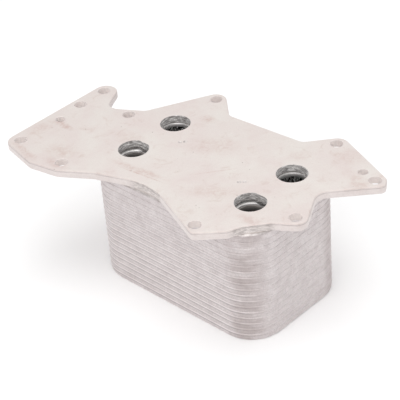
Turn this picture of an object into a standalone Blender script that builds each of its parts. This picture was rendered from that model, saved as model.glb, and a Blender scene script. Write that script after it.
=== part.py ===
"""Plate-type hydraulic oil cooler: brazed stack of dished plates under a ported mounting plate.

Frame: +Z up, +X along the cooler's long side. The origin is the centre of the four ports, on the
sealing face, which is the top face of the mounting plate. Metres throughout.
"""
import math

import bmesh
import bpy
from mathutils import Vector

MM = 0.001
FIT_GAP = 0.3 * MM                  # clearance left at every brazed face
ARC_STEP = 5.0 * MM                 # longest side on a rounded corner

# Mounting plate
PLATE_THICKNESS = 5.3 * MM
EDGE_ROLL = 0.9 * MM                # rolled-over top edge left by blanking
BOLT_HOLE_R = 4.25 * MM             # clearance for M8
DOWEL_HOLE_R = 3.25 * MM
PORT_R = 10.0 * MM
PORT_X = 50.0 * MM
PORT_Y = 19.5 * MM
PORT_FLAT = 9.1 * MM                # coolant ports: distance from axis to their flat

# Core
CORE_HALF_X = 71.75 * MM
CORE_HALF_Y = 44.8 * MM
CORE_CORNER_R = 23.6 * MM
COVER_THICKNESS = 2.8 * MM
COUNTERBORE_DEPTH = 1.9 * MM
PAN_COUNT = 18
PAN_PITCH = 4.4 * MM
PAN_HEIGHT = 4.8 * MM
PAN_LEAN = 0.9 * MM                 # how far the rim stands out past the floor
SHEET = 0.5 * MM
PAN_PORT_R = 9.2 * MM
TURBULATOR_SHEET = 0.3 * MM
TURBULATOR_HALF_X = 38.0 * MM
TURBULATOR_HALF_Y = 41.0 * MM
TURBULATOR_FOLDS = 12

# Heights worked out from the sizes above
COVER_TOP = -PLATE_THICKNESS - FIT_GAP
COVER_BOTTOM = COVER_TOP - COVER_THICKNESS
FIRST_RIM = COVER_BOTTOM - FIT_GAP

# Corners of the mounting plate, clockwise from the left end: x, y and corner radius in mm
PLATE_CORNERS_MM = [
    (-127.4, 29.5, 8.3), (-113.8, 29.5, 8.3), (-103.5, 9.2, 5.0), (-96.3, 9.2, 8.0),
    (-77.9, 19.4, 6.0), (-51.8, 70.9, 8.0), (-28.2, 48.5, 6.0), (31.5, 51.8, 6.0),
    (49.2, 72.0, 8.0), (100.0, 49.9, 4.0), (104.2, 42.4, 4.0), (75.2, 12.5, 10.0),
    (91.8, -17.9, 7.5), (75.0, -28.0, 8.0), (63.5, -41.0, 14.0), (59.2, -51.0, 2.0),
    (43.7, -65.2, 3.0), (-12.4, -41.8, 50.0), (-50.5, -55.0, 15.0), (-71.5, -67.6, 6.0),
    (-93.2, -71.3, 3.0), (-126.2, -63.8, 8.0),
]
BOLT_HOLES_MM = [
    (-117.9, -56.7), (-119.7, -1.4), (-120.0, 21.0), (-83.3, 9.0), (-49.3, 58.6),
    (50.4, 62.9), (95.1, 44.0), (81.7, -15.4), (39.3, -57.1), (-75.7, -59.0),
]
DOWEL_HOLES_MM = [(-116.3, -23.1), (83.6, 46.9)]


def clear_scene():
    """Remove whatever the open file already holds."""
    for old in list(bpy.data.objects):
        bpy.data.objects.remove(old, do_unlink=True)


def new_collection(name):
    collection = bpy.data.collections.new(name)
    bpy.context.scene.collection.children.link(collection)
    return collection


def aluminium(name, colour, roughness):
    """Bare aluminium, with the colour and dullness that its surface has."""
    material = bpy.data.materials.new(name)
    material.use_nodes = True
    shader = material.node_tree.nodes["Principled BSDF"]
    shader.inputs["Base Color"].default_value = (*colour, 1.0)
    shader.inputs["Metallic"].default_value = 1.0
    shader.inputs["Roughness"].default_value = roughness
    return material


# Outlines

def circle(centre_x, centre_y, radius, sides):
    """Points of a circle."""
    turn = 2 * math.pi / sides
    return [(centre_x + radius * math.cos(turn * i), centre_y + radius * math.sin(turn * i))
            for i in range(sides)]


def flatted_circle(centre_x, centre_y, radius, flat, sides):
    """Circle whose +Y side is cut off by a flat at the given distance from its centre."""
    half_gap = math.acos(flat / radius)
    start = math.pi / 2 + half_gap
    turn = (2 * math.pi - 2 * half_gap) / sides
    return [(centre_x + radius * math.cos(start + turn * i),
             centre_y + radius * math.sin(start + turn * i)) for i in range(sides + 1)]


def rounded_outline(corners, degrees_per_side):
    """Polygon whose corners (x, y, radius) are replaced by tangent arcs."""
    points = []
    for i, (x, y, radius) in enumerate(corners):
        corner = Vector((x, y))
        before = (Vector(corners[i - 1][:2]) - corner).normalized()
        after = (Vector(corners[(i + 1) % len(corners)][:2]) - corner).normalized()
        half_angle = before.angle(after) / 2
        centre = corner + (before + after).normalized() * (radius / math.sin(half_angle))
        reach = radius / math.tan(half_angle)
        first = corner + before * reach - centre
        sweep = first.angle_signed(corner + after * reach - centre)
        sides = max(2, round(abs(math.degrees(sweep)) / degrees_per_side),
                    round(abs(sweep) * radius / ARC_STEP))
        for step in range(sides + 1):
            angle = -sweep * step / sides
            turned = Vector((first.x * math.cos(angle) - first.y * math.sin(angle),
                             first.x * math.sin(angle) + first.y * math.cos(angle)))
            points.append(tuple(centre + turned))
    return points


def core_outline(inset, degrees_per_side=18):
    """Rounded rectangle of the core, drawn in by the given amount."""
    half_x = CORE_HALF_X - inset
    half_y = CORE_HALF_Y - inset
    radius = CORE_CORNER_R - inset
    corners = [(-half_x, half_y, radius), (half_x, half_y, radius),
               (half_x, -half_y, radius), (-half_x, -half_y, radius)]
    return rounded_outline(corners, degrees_per_side)


def coolant_ports(radius, sides):
    return [circle(x, -PORT_Y, radius, sides) for x in (-PORT_X, PORT_X)]


def oil_ports(radius, sides):
    return [circle(x, PORT_Y, radius, sides) for x in (-PORT_X, PORT_X)]


def flatted_coolant_ports(sides):
    return [flatted_circle(x, -PORT_Y, PORT_R, PORT_FLAT, sides) for x in (-PORT_X, PORT_X)]


# Solids

def filled_mesh(name, outlines, thickness=0.0):
    """Flat sheet bounded by the first outline, with the others as holes, centred on z = 0."""
    curve = bpy.data.curves.new(name, "CURVE")
    curve.dimensions = "2D"
    curve.fill_mode = "BOTH"
    curve.extrude = thickness / 2
    for outline in outlines:
        spline = curve.splines.new("POLY")
        spline.points.add(len(outline) - 1)
        for point, (x, y) in zip(spline.points, outline):
            point.co = (x, y, 0.0, 1.0)
        spline.use_cyclic_u = True
    guide = bpy.data.objects.new(name + "_outline", curve)
    bpy.context.scene.collection.objects.link(guide)
    depsgraph = bpy.context.evaluated_depsgraph_get()
    mesh = bpy.data.meshes.new_from_object(guide.evaluated_get(depsgraph))
    mesh.name = name
    bpy.data.objects.remove(guide, do_unlink=True)
    work = bmesh.new()
    work.from_mesh(mesh)
    bmesh.ops.remove_doubles(work, verts=work.verts, dist=0.01 * MM)
    bmesh.ops.recalc_face_normals(work, faces=work.faces)
    work.to_mesh(mesh)
    work.free()
    return mesh


def place(name, mesh, z, collection, material):
    """Named object for one sub-part, at height z."""
    piece = bpy.data.objects.new(name, mesh)
    piece.location.z = z
    collection.objects.link(piece)
    if not mesh.materials:
        mesh.materials.append(material)
    return piece


def roll_top_edge(mesh, width):
    """Chamfer the outer top edge of the mounting plate, as blanking leaves it."""
    work = bmesh.new()
    work.from_mesh(mesh)
    top = max(vertex.co.z for vertex in work.verts)
    ports_and_holes = [(x, y, PORT_R) for x in (-PORT_X, PORT_X) for y in (-PORT_Y, PORT_Y)]
    ports_and_holes += [(x * MM, y * MM, BOLT_HOLE_R) for x, y in BOLT_HOLES_MM + DOWEL_HOLES_MM]

    def on_a_hole(vertex):
        return any(math.hypot(vertex.co.x - x, vertex.co.y - y) < radius + 0.1 * MM
                   for x, y, radius in ports_and_holes)

    outer = [edge for edge in work.edges
             if all(abs(vertex.co.z - top) < 0.01 * MM for vertex in edge.verts)
             and edge.calc_face_angle(0.0) > 1.0
             and not any(on_a_hole(vertex) for vertex in edge.verts)]
    bmesh.ops.bevel(work, geom=outer, offset=width, segments=1, affect="EDGES",
                    offset_type="OFFSET", clamp_overlap=True)
    work.to_mesh(mesh)
    work.free()


def mounting_plate(collection, material):
    """Thick blanked plate with lugs for the bolts, bores for the dowels and the four ports."""
    corners = [(x * MM, y * MM, radius * MM) for x, y, radius in PLATE_CORNERS_MM]
    outlines = [rounded_outline(corners, 15)]
    outlines += oil_ports(PORT_R, 24)
    outlines += flatted_coolant_ports(20)
    outlines += [circle(x * MM, y * MM, BOLT_HOLE_R, 16) for x, y in BOLT_HOLES_MM]
    outlines += [circle(x * MM, y * MM, DOWEL_HOLE_R, 14) for x, y in DOWEL_HOLES_MM]
    mesh = filled_mesh("mounting_plate", outlines, PLATE_THICKNESS)
    roll_top_edge(mesh, EDGE_ROLL)
    return place("mounting_plate", mesh, -PLATE_THICKNESS / 2, collection, material)


def cover_plate(collection, cutters, material):
    """Flat plate that closes the core, with the coolant ports counterbored from above."""
    outlines = [core_outline(0.0)]
    outlines += oil_ports(PAN_PORT_R, 20)
    outlines += coolant_ports(PAN_PORT_R, 20)
    mesh = filled_mesh("cover_plate", outlines, COVER_THICKNESS)
    plate = place("cover_plate", mesh, COVER_TOP - COVER_THICKNESS / 2, collection, material)
    for number, outline in enumerate(flatted_coolant_ports(20), start=1):
        depth = COUNTERBORE_DEPTH + FIT_GAP
        cutter_mesh = filled_mesh("counterbore", [outline], depth)
        cutter = bpy.data.objects.new(f"counterbore_{number}", cutter_mesh)
        cutter.location.z = COVER_TOP + FIT_GAP - depth / 2
        cutter.hide_render = True
        cutter.display_type = "WIRE"
        cutters.objects.link(cutter)
        cut = plate.modifiers.new(f"counterbore_{number}", "BOOLEAN")
        cut.operation = "DIFFERENCE"
        cut.solver = "EXACT"
        cut.object = cutter
    return plate


def outward(x, y):
    """Unit vector that points straight out of the core's rounded outline at (x, y)."""
    straight_x = CORE_HALF_X - CORE_CORNER_R
    straight_y = CORE_HALF_Y - CORE_CORNER_R
    nearest = Vector((max(-straight_x, min(straight_x, x)), max(-straight_y, min(straight_y, y))))
    return (Vector((x, y)) - nearest).normalized()


def raise_edges(work, edges, height, lean):
    """Turn an open edge up, leaning it outwards by the given amount."""
    walls = bmesh.ops.extrude_edge_only(work, edges=edges)["geom"]
    for vertex in (item for item in walls if isinstance(item, bmesh.types.BMVert)):
        way_out = outward(vertex.co.x, vertex.co.y) * lean
        vertex.co += Vector((way_out.x, way_out.y, height))


def pan_mesh(name, collared_row, collar_height):
    """Dished plate as an open sheet: floor, leaning rim, four ports, and collars on one row."""
    outlines = [core_outline(PAN_LEAN)]
    if collared_row is not None:
        outlines += oil_ports(PAN_PORT_R, 12) + coolant_ports(PAN_PORT_R, 12)
    mesh = filled_mesh(name, outlines)
    work = bmesh.new()
    work.from_mesh(mesh)
    for face in work.faces:
        if face.normal.z > 0:
            face.normal_flip()
    rim, collars = [], []
    for edge in (edge for edge in work.edges if edge.is_boundary):
        middle = (edge.verts[0].co + edge.verts[1].co) / 2
        from_port = math.hypot(abs(middle.x) - PORT_X, abs(middle.y) - PORT_Y)
        if from_port > PAN_PORT_R + 0.1 * MM:
            rim.append(edge)
        elif collared_row is not None and middle.y * collared_row > 0:
            collars.append(edge)
    raise_edges(work, rim, PAN_HEIGHT, PAN_LEAN)
    if collars:
        raise_edges(work, collars, collar_height, 0.0)
    work.to_mesh(mesh)
    work.free()
    return mesh


def core_pans(collection, material):
    """The stack of dished plates. Collars seal coolant from oil in turn, the last pan is blind."""
    first_floor = FIRST_RIM - PAN_HEIGHT
    first_collar = COVER_BOTTOM - FIT_GAP - first_floor
    collar = PAN_PITCH - FIT_GAP
    first_mesh = pan_mesh("first_pan", -1, first_collar)
    oil_mesh = pan_mesh("oil_pan", -1, collar)
    coolant_mesh = pan_mesh("coolant_pan", 1, collar)
    end_mesh = pan_mesh("end_pan", None, 0.0)
    for number in range(1, PAN_COUNT + 1):
        mesh = oil_mesh if number % 2 else coolant_mesh
        if number == 1:
            mesh = first_mesh
        if number == PAN_COUNT:
            mesh = end_mesh
        floor = first_floor - (number - 1) * PAN_PITCH
        pan = place(f"core_pan_{number:02d}", mesh, floor, collection, material)
        sheet = pan.modifiers.new("sheet", "SOLIDIFY")
        sheet.thickness = SHEET
        sheet.offset = -1.0
        sheet.use_even_offset = True


def turbulator_mesh(name, height):
    """Folded fin sheet, a zigzag of the given overall height, as an open surface."""
    mesh = bpy.data.meshes.new(name)
    work = bmesh.new()
    bmesh.ops.create_grid(work, x_segments=2 * TURBULATOR_FOLDS, y_segments=1, size=1.0)
    fold_width = TURBULATOR_HALF_X / TURBULATOR_FOLDS
    crest = height / 2 - TURBULATOR_SHEET
    for vertex in work.verts:
        vertex.co.x *= TURBULATOR_HALF_X
        vertex.co.y *= TURBULATOR_HALF_Y
        fold = round((vertex.co.x + TURBULATOR_HALF_X) / fold_width)
        vertex.co.z = crest if fold % 2 else -crest
    work.to_mesh(mesh)
    work.free()
    return mesh


def turbulators(collection, material):
    """One folded fin sheet in each passage, between the floor below it and the plate above."""
    first_floor = FIRST_RIM - PAN_HEIGHT + SHEET
    first_height = COVER_BOTTOM - first_floor - 2 * FIT_GAP
    height = PAN_PITCH - SHEET - 2 * FIT_GAP
    first_mesh = turbulator_mesh("first_turbulator", first_height)
    mesh = turbulator_mesh("turbulator", height)
    for number in range(1, PAN_COUNT + 1):
        own_mesh, own_height = (first_mesh, first_height) if number == 1 else (mesh, height)
        middle = first_floor - (number - 1) * PAN_PITCH + FIT_GAP + own_height / 2
        fin = place(f"turbulator_{number:02d}", own_mesh, middle, collection, material)
        sheet = fin.modifiers.new("sheet", "SOLIDIFY")
        sheet.thickness = TURBULATOR_SHEET
        sheet.offset = 0.0
        sheet.use_even_offset = True


def build():
    clear_scene()
    parts = new_collection("hydraulic_oil_cooler")
    cutters = new_collection("cutters")
    blanked = aluminium("blanked_aluminium", (0.78, 0.74, 0.72), 0.55)
    brazed = aluminium("brazed_aluminium", (0.66, 0.62, 0.61), 0.6)
    fin_stock = aluminium("fin_aluminium", (0.7, 0.7, 0.7), 0.4)
    mounting_plate(parts, blanked)
    cover_plate(parts, cutters, brazed)
    core_pans(parts, brazed)
    turbulators(parts, fin_stock)


build()
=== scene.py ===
"""Hydraulic plate oil cooler: the surfaces that show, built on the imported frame."""

import math

import bmesh
import bpy
from mathutils import Matrix, Vector


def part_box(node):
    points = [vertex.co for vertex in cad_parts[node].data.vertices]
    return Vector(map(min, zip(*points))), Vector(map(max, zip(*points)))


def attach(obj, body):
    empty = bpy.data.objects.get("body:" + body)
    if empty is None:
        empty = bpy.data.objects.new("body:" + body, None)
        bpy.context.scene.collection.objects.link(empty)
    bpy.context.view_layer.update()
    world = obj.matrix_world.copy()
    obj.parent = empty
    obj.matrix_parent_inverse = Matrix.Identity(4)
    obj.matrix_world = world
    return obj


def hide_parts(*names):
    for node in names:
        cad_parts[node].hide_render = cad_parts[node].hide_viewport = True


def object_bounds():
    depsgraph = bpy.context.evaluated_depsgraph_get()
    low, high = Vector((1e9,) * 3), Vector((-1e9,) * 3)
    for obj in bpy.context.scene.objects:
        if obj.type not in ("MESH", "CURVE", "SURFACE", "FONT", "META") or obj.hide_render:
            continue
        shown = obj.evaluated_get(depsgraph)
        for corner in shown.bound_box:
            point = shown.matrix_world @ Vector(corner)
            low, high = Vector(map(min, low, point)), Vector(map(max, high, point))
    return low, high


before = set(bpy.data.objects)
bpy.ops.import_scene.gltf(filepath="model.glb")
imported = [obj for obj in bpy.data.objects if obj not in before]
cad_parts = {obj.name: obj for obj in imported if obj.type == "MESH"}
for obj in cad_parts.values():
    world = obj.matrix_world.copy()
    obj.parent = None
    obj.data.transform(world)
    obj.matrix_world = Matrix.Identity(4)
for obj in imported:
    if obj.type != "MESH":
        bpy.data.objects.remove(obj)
cad_low, cad_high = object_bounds()
MM = 0.001


# Mounting plate
# One thick aluminium plate, blanked to an irregular outline with lugs for ten bolts and two
# dowels. The punch rolls its top edge over and leaves a dark shear line under the roll. The ports
# are bored afterwards, and the whole plate goes through the brazing furnace with the core.

def linear(hex_colour):
    """sRGB hex colour as the linear RGBA that a shader socket takes."""
    channels = [int(hex_colour[i:i + 2], 16) / 255 for i in (1, 3, 5)]
    return (*(c / 12.92 if c <= 0.04045 else ((c + 0.055) / 1.055) ** 2.4 for c in channels), 1.0)


def connect(tree, node, inputs):
    """Give a node's inputs a value, a hex colour, a socket or node to link, or a list of them."""
    live = [socket for socket in node.inputs if socket.enabled]
    for key, given in dict(inputs).items():
        socket = live[key] if isinstance(key, int) else next(s for s in live if s.name == key)
        for value in (given if isinstance(given, list) else [given]):
            if isinstance(value, str) and value.startswith("#"):
                value = linear(value)
            if isinstance(value, bpy.types.Node):
                value = next(out for out in value.outputs if out.enabled)
            if isinstance(value, bpy.types.NodeSocket):
                tree.links.new(value, socket)
            else:
                socket.default_value = value


def add(tree, kind, inputs=(), **settings):
    """Add a node, set it up and connect its inputs."""
    node = tree.nodes.new(kind)
    for name, value in settings.items():
        setattr(node, name, value)
    connect(tree, node, inputs)
    return node


def new_finish(name):
    """New material, with its tree, its shader and its object coordinates."""
    finish = bpy.data.materials.new(name)
    finish.use_nodes = True
    tree = finish.node_tree
    place = add(tree, "ShaderNodeTexCoord").outputs["Object"]
    return finish, tree, tree.nodes["Principled BSDF"], place


def off_spot(tree, place, x, y, half_x, half_y, turn):
    """Distance from the middle of an elliptic spot, 1 at its edge. In mm, turned in degrees."""
    spot = add(tree, "ShaderNodeMapping", {"Vector": place, "Location": (x * MM, y * MM, 0.0),
               "Rotation": (0.0, 0.0, math.radians(turn)),
               "Scale": (half_x * MM, half_y * MM, 1.0)}, vector_type="TEXTURE")
    return add(tree, "ShaderNodeVectorMath", {0: spot}, operation="LENGTH").outputs["Value"]


def tinted(tree, colour, tint, value, low, high, most=1.0, mask=None, soft=False):
    """A colour that turns into a tint, by up to most, as a value goes from low to high.

    A mask holds the tint back. A soft change eases in and out."""
    amount = add(tree, "ShaderNodeMapRange", {"Value": value, "From Min": low, "From Max": high,
                 "To Max": most}, interpolation_type="SMOOTHSTEP" if soft else "LINEAR")
    if mask is not None:
        amount = add(tree, "ShaderNodeMath", {0: amount, 1: mask}, operation="MULTIPLY")
    return add(tree, "ShaderNodeMix", {0: amount, 1: colour, 2: tint}, data_type="RGBA")


# Blanked aluminium, matt from the brazing furnace: a pale oxide film, faintly pink, so the light
# spreads softly. Flux leaves cloudy brown stains, handling leaves hairlines and pin-prick marks.
plate_finish, tree, shader, place = new_finish("blanked_aluminium_furnace_matt")
FILM_CLOUD = 30.0       # mm, width of the cloudy changes in the oxide film
BLOTCH = 8.0            # mm, width of the flux blotches
GRAIN = 0.9             # mm; the real grain is about 0.1 mm, drawn as coarse as it needs to show
STAIN_RAG = 4.0         # mm, raggedness of a stain's edge
SPECK_SPACING = 9.0     # mm
CHATTER = 3.2           # mm along a bored wall; the marks are drawn out in rings
HAIRLINE = 0.8          # mm between hairlines
clouds = add(tree, "ShaderNodeTexNoise", {"Vector": place, "Scale": 1 / (FILM_CLOUD * MM),
             "Detail": 4.0, "Roughness": 0.6, "Distortion": 0.4})
blotches = add(tree, "ShaderNodeTexNoise", {"Vector": place, "Scale": 1 / (BLOTCH * MM),
               "Detail": 4.0, "Roughness": 0.62, "Distortion": 0.8})
grain = add(tree, "ShaderNodeTexNoise", {"Vector": place, "Scale": 1 / (GRAIN * MM),
            "Detail": 3.0, "Roughness": 0.7})
colour = tinted(tree, "#E9E4E0", "#E6DDDA", clouds, 0.35, 0.65)
colour = tinted(tree, colour, "#DBCDC7", blotches, 0.55, 0.78, 0.45, soft=True)
STAINS = [  # x, y, half width, half height in mm, turn in degrees, strength
    (-108.0, -27.0, 12.0, 4.0, -6.0, 0.7), (-115.0, -25.0, 6.0, 6.0, 0.0, 0.7),
    (-36.0, 36.0, 9.0, 6.0, 0.0, 0.55), (-30.0, -35.5, 30.0, 4.0, 6.0, 0.55),
    (-24.0, -38.2, 24.0, 0.9, 6.0, 0.8), (-86.0, -50.0, 18.0, 11.0, 20.0, 0.4),
    (-106.0, -64.5, 20.0, 4.0, -14.0, 0.5), (-78.0, -62.0, 14.0, 6.0, 0.0, 0.45),
    (66.0, 55.0, 14.0, 12.0, 0.0, 0.35), (88.0, 36.0, 14.0, 8.0, -40.0, 0.45),
    (26.0, -24.0, 24.0, 9.0, 30.0, 0.4), (-10.0, 15.0, 22.0, 14.0, 30.0, 0.35),
    (62.0, -34.0, 13.0, 6.0, 0.0, 0.45), (-118.0, -38.0, 8.0, 18.0, 0.0, 0.35),
    (40.0, 37.0, 10.0, 8.0, 0.0, 0.3), (10.0, -8.0, 20.0, 1.0, 52.0, 0.35),
    (-60.0, -12.0, 16.0, 10.0, 0.0, 0.3),
]
ragged = add(tree, "ShaderNodeTexNoise", {"Vector": place, "Scale": 1 / (STAIN_RAG * MM),
             "Detail": 4.0, "Roughness": 0.65, "Distortion": 1.2})
ragged = add(tree, "ShaderNodeMapRange", {"Value": ragged, "From Min": 0.38, "From Max": 0.62,
             "To Min": 0.25}, interpolation_type="SMOOTHSTEP")
for *ellipse, strength in STAINS:
    colour = tinted(tree, colour, "#D4BEB7", off_spot(tree, place, *ellipse), 1.0, 0.15, strength,
                    ragged, soft=True)
# The sheared side is bare and paler than the skin, and the punched holes are clean. The bored
# ports are greyer, partly as painted shade on the bore walls, with rings of chatter marks whose
# bright smears are painted highlights. The walls of two scoops in the edge are tinted a mottled
# grey.
height = add(tree, "ShaderNodeSeparateXYZ", {0: place}).outputs["Z"]
under = add(tree, "ShaderNodeMapRange", {"Value": height, "From Min": -0.2 * MM,
            "From Max": -0.5 * MM}, interpolation_type="SMOOTHSTEP")
colour = tinted(tree, colour, "#ECE7E6", under, 0.0, 1.0, 0.75)
punched = add(tree, "ShaderNodeAttribute", attribute_name="punched").outputs["Fac"]
colour = add(tree, "ShaderNodeMix", {0: punched, 1: colour, 2: "#EEE9E7"}, data_type="RGBA")
chatter = add(tree, "ShaderNodeMapping", {"Vector": place, "Scale": (1.0, 1.0, 3.4)})
chatter = add(tree, "ShaderNodeTexNoise", {"Vector": chatter, "Scale": 1 / (CHATTER * MM),
              "Detail": 4.0, "Roughness": 0.7, "Distortion": 0.4})
# Bore walls: the grey is partly painted shade, the bright chatter rings are painted highlights.
bored = tinted(tree, "#A8A4A3", "#FBFAF9", chatter, 0.38, 0.64)
scoop_wall_tint = tinted(tree, "#CDC7C5", "#EEE9E7", chatter, 0.38, 0.64)
in_bore = add(tree, "ShaderNodeAttribute", attribute_name="bored").outputs["Fac"]
colour = add(tree, "ShaderNodeMix", {0: in_bore, 1: colour, 2: bored}, data_type="RGBA")
# x, y, half width, half height in mm, turn in degrees
SCOOPS = [(-9.0, -45.0, 20.0, 5.0, 3.0), (67.0, -37.5, 16.5, 6.5, 52.0)]
# The scoop walls are tinted a mottled grey, a little darker than the rest of the side.
for ellipse in SCOOPS:
    colour = tinted(tree, colour, scoop_wall_tint, off_spot(tree, place, *ellipse), 1.0, 0.55, mask=under,
                    soft=True)
# The shear line under the rolled edge: broken, and darkest where the punch tore the metal.
above = add(tree, "ShaderNodeMapRange", {"Value": height, "From Min": -1.5 * MM,
            "From Max": -1.15 * MM}, interpolation_type="SMOOTHSTEP")
below = add(tree, "ShaderNodeMapRange", {"Value": height, "From Min": -0.55 * MM,
            "From Max": -0.85 * MM}, interpolation_type="SMOOTHSTEP")
broken = add(tree, "ShaderNodeMapRange", {"Value": clouds, "From Min": 0.35, "From Max": 0.6,
             "To Min": 0.05, "To Max": 0.28})
outer = add(tree, "ShaderNodeMath", {0: 1.0, 1: punched}, operation="SUBTRACT")
line = above
for mask in (below, broken, outer):
    line = add(tree, "ShaderNodeMath", {0: line, 1: mask}, operation="MULTIPLY")
colour = add(tree, "ShaderNodeMix", {0: line, 1: colour, 2: "#A79C98"}, data_type="RGBA")
specks = add(tree, "ShaderNodeTexVoronoi", {"Vector": place, "Scale": 1 / (SPECK_SPACING * MM)})
colour = tinted(tree, colour, "#8C7E76", specks.outputs["Distance"], 0.055, 0.03, 0.6)
colour = tinted(tree, colour, "#B9AFA9", grain, 0.35, 0.75, 0.14)
roughness = add(tree, "ShaderNodeMapRange", {"Value": blotches, "From Min": 0.3, "From Max": 0.7,
                "To Min": 0.66, "To Max": 0.78})
rolled = add(tree, "ShaderNodeMapRange", {"Value": height, "From Min": -0.01 * MM,
             "From Max": -0.2 * MM, "To Max": 0.2})
roughness = add(tree, "ShaderNodeMath", {0: roughness, 1: rolled}, operation="ADD")
along = add(tree, "ShaderNodeMapping", {"Vector": place, "Rotation": (0.0, 0.0, math.radians(38)),
            "Scale": (0.05, 1.0, 1.0)})
hairlines = add(tree, "ShaderNodeTexNoise", {"Vector": along, "Scale": 1 / (HAIRLINE * MM),
                "Detail": 2.0})
relief = add(tree, "ShaderNodeMath", {0: grain, 1: hairlines}, operation="ADD")
relief = add(tree, "ShaderNodeMath", {0: relief, 1: blotches}, operation="ADD")
bump = add(tree, "ShaderNodeBump", {"Height": relief, "Strength": 0.3, "Distance": 0.08 * MM})
connect(tree, shader, {"Base Color": colour, "Metallic": 1.0, "Roughness": roughness,
                       "Normal": bump})

WELD = 0.005 * MM               # points closer than this are one point
LEVEL_WITHIN = 0.02 * MM        # a flat face's points are at its height within this much


def flat_loops(node_name, height):
    """Closed point loops that bound a CAD node's flat face at the given height."""
    work = bmesh.new()
    work.from_mesh(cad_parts[node_name].data)
    bmesh.ops.remove_doubles(work, verts=work.verts, dist=WELD)
    flat = {face for face in work.faces
            if all(abs(vertex.co.z - height) < LEVEL_WITHIN for vertex in face.verts)}
    after = {}
    for face in flat:
        for loop in face.loops:
            if sum(other in flat for other in loop.edge.link_faces) == 1:
                after[loop.vert] = loop.link_loop_next.vert
    loops = []
    while after:
        vertex = next(iter(after))
        points = []
        while vertex in after:
            points.append(Vector(vertex.co.xy))
            vertex = after.pop(vertex)
        loops.append(points)
    work.free()
    return loops


def spread(points):
    """Width of a loop along X."""
    return max(point.x for point in points) - min(point.x for point in points)


def drawn_in(points, inset):
    """An outline moved inwards by the given amount. Its mitres are kept from growing too long."""
    area = sum(a.cross(b) for a, b in zip(points, points[1:] + points[:1]))
    side = math.copysign(1.0, area)
    moved = []
    for before, here, after in zip(points[-1:] + points[:-1], points, points[1:] + points[:1]):
        first = (here - before).normalized()
        second = (after - here).normalized()
        inward = Vector((-first.y - second.y, first.x + second.x)).normalized() * side
        mitre = max(0.5, inward.dot(Vector((-first.y, first.x)) * side))
        moved.append(here + inward * (inset / mitre))
    return moved


def stack_rings(work, sections, mark=None, amount=1.0):
    """Wall through a list of (points, height) sections. Returns its first and last rings.

    The points of the wall itself are given the amount of the marked finish."""
    rings = [[work.verts.new((point.x, point.y, height)) for point in points]
             for points, height in sections]
    for ring in rings[2:-1] if mark else ():
        for vertex in ring:
            vertex[mark] = amount
    for above, below in zip(rings, rings[1:]):
        for i in range(len(above)):
            work.faces.new((above[i - 1], above[i], below[i], below[i - 1]))
    return rings[0], rings[-1]


def close_flat(work, rings):
    """Flat face between an outer ring and the rings of the holes in it."""
    edges = [work.edges.get((ring[i - 1], ring[i])) for ring in rings for i in range(len(ring))]
    bmesh.ops.triangle_fill(work, use_beauty=True, use_dissolve=False, edges=edges)


def ride_as(piece, sharp_from, slot, *nodes):
    """Shade a finished piece, and let it stand for its CAD nodes on the rigid body."""
    piece.data.shade_smooth()
    piece.data.set_sharp_from_angle(angle=math.radians(sharp_from))
    bpy.context.scene.collection.objects.link(piece)
    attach(piece, "root")
    if nodes:
        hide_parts(*nodes)


def piece_from(work, name, material):
    """Turn a closed bmesh into a piece with its material."""
    bmesh.ops.recalc_face_normals(work, faces=work.faces)
    mesh = bpy.data.meshes.new(name)
    work.to_mesh(mesh)
    work.free()
    mesh.materials.append(material)
    return bpy.data.objects.new(name, mesh)


def hole_ring(centre, radius, flat=None, sides=64):
    """Points round a hole. A flat, if given, cuts its +Y side off at that distance."""
    points = []
    for i in range(sides):
        angle = 2 * math.pi * i / sides
        offset = Vector((math.cos(angle), math.sin(angle))) * radius
        if flat is not None and offset.y > flat:
            offset *= flat / offset.y
        points.append(centre + offset)
    return points


plate_low, plate_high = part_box("mounting_plate")
PLATE_T = plate_high.z - plate_low.z
EDGE = [  # inset and depth in mm, from the top face over the roll and down the sheared side
    (0.98, 0.0), (0.8, 0.01), (0.62, 0.07), (0.45, 0.18), (0.3, 0.36), (0.2, 0.6), (0.17, 0.84),
    (0.2, 0.98), (0.17, 1.12), (0.03, 1.3), (0.0, 1.6), (0.0, 4.6), (0.12, 5.05), (0.45, 5.3),
    (0.9, 5.3),
]
SMALLEST_PORT_R = 8.0 * MM      # a hole wider than this is a port
PORT_BREAK = 0.25 * MM          # chamfer round a port
HOLE_BREAK = 0.3 * MM           # softer edge round a punched hole
UNDER_BREAK = 0.3 * MM          # chamfer round any hole on the underside
FLAT_MARGIN = 0.2 * MM          # flat ring kept round each hole, so the shading stays level
PUNCH_MARKS = [(-31.4, 4.3), (-29.0, 6.7), (30.3, -7.5), (32.7, -5.1)]  # mm, two pairs
PUNCH_MARK = [  # radius and depth in mm
    (1.65, 0.0), (1.55, 0.0), (1.35, 0.05), (1.0, 0.2), (0.5, 0.3), (0.2, 0.32)]
loops = sorted(flat_loops("mounting_plate", plate_low.z), key=spread)
outline, holes = loops[-1], loops[:-1]
work = bmesh.new()
punched_wall = work.verts.layers.float.new("punched")
bored_wall = work.verts.layers.float.new("bored")
top_ring, bottom_ring = stack_rings(work, [
    (drawn_in(outline, inset * MM), plate_high.z - depth * MM) for inset, depth in EDGE])
top_rings, bottom_rings = [top_ring], [bottom_ring]
port_centres = []
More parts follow.
